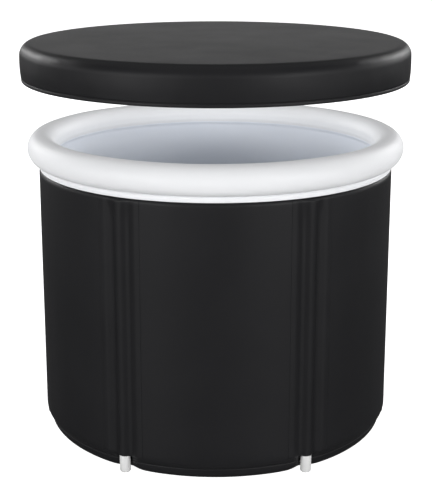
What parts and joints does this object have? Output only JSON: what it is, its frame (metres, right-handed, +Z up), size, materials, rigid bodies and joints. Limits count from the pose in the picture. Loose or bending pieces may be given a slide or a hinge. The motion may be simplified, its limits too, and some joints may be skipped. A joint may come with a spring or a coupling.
{
  "type": "cold plunge tub",
  "caption": "Round soft-walled cold plunge tub held up by rods in sleeves, with a white inflatable ring round its mouth, a drain tap at the back and a padded lift-off lid.",
  "frame": {"origin": "middle of the underside of the base, on the floor", "axes": "+Z up, -Y towards the front, with the drain tap on the +Y side"},
  "size_m": [0.9204, 0.963, 0.946],
  "materials": {
    "black_fabric": "black coated fabric with a soft satin sheen",
    "white_vinyl": "smooth white vinyl film, satin",
    "grey_liner": "light blue-grey coated fabric, satin",
    "foam": "closed-cell insulating foam, matt",
    "white_plastic": "moulded white plastic, satin",
    "black_plastic": "moulded black plastic, fine grain",
    "black_rubber": "matt black rubber",
    "steel": "stainless steel screw, brushed"
  },
  "bodies": {
    "tub": {"outer_wall": "black_fabric", "base_shell": "black_fabric", "rod_sleeve_1": "black_fabric", "rod_sleeve_2": "black_fabric", "rod_sleeve_3": "black_fabric", "rod_sleeve_4": "black_fabric", "rod_sleeve_5": "black_fabric", "rod_sleeve_6": "black_fabric", "top_ring": "white_vinyl", "ring_lip": "white_vinyl", "inner_liner": "grey_liner", "base_pad": "foam", "wall_foam_1": "foam", "wall_foam_2": "foam", "wall_foam_3": "foam", "wall_foam_4": "foam", "wall_foam_5": "foam", "wall_foam_6": "foam", "support_rod_1": "white_plastic", "support_rod_2": "white_plastic", "support_rod_3": "white_plastic", "support_rod_4": "white_plastic", "support_rod_5": "white_plastic", "support_rod_6": "white_plastic", "rod_foot_1": "white_plastic", "rod_foot_2": "white_plastic", "rod_foot_3": "white_plastic", "rod_foot_4": "white_plastic", "rod_foot_5": "white_plastic", "rod_foot_6": "white_plastic", "ring_valve_base": "white_plastic", "rod_top_cap_1": "black_plastic", "rod_top_cap_2": "black_plastic", "rod_top_cap_3": "black_plastic", "rod_top_cap_4": "black_plastic", "rod_top_cap_5": "black_plastic", "rod_top_cap_6": "black_plastic", "drain_body": "black_plastic", "drain_nut": "black_plastic", "drain_gasket_outer": "black_rubber", "drain_gasket_inner": "black_rubber", "ring_valve_flap": "black_rubber"},
    "lid": {"lid_cover": "black_fabric", "lid_foam_disc": "foam", "lid_foam_band": "foam", "lid_lining": "black_fabric", "lid_binding": "black_fabric"},
    "drain_tap": {"drain_spool": "white_plastic", "drain_handle": "black_plastic", "drain_handle_screw": "steel"},
    "valve_cap": {"ring_valve_cap": "white_plastic"}
  },
  "joints": [
    {"name": "lid_lift", "type": "slide", "parent": "tub", "child": "lid", "axis": [0, 0, 1], "range_m": [-0.1867, 0.25]},
    {"name": "drain_tap_turn", "type": "hinge", "parent": "tub", "child": "drain_tap", "pos_m": [0, 0.45477, 0.105], "axis": [0, 0, 1], "range_deg": [0, 90]},
    {"name": "ring_valve_cap_flip", "type": "hinge", "parent": "tub", "child": "valve_cap", "pos_m": [0, -0.373, 0.6835], "axis": [-1, 0, 0], "range_deg": [0, 150]}
  ]
}
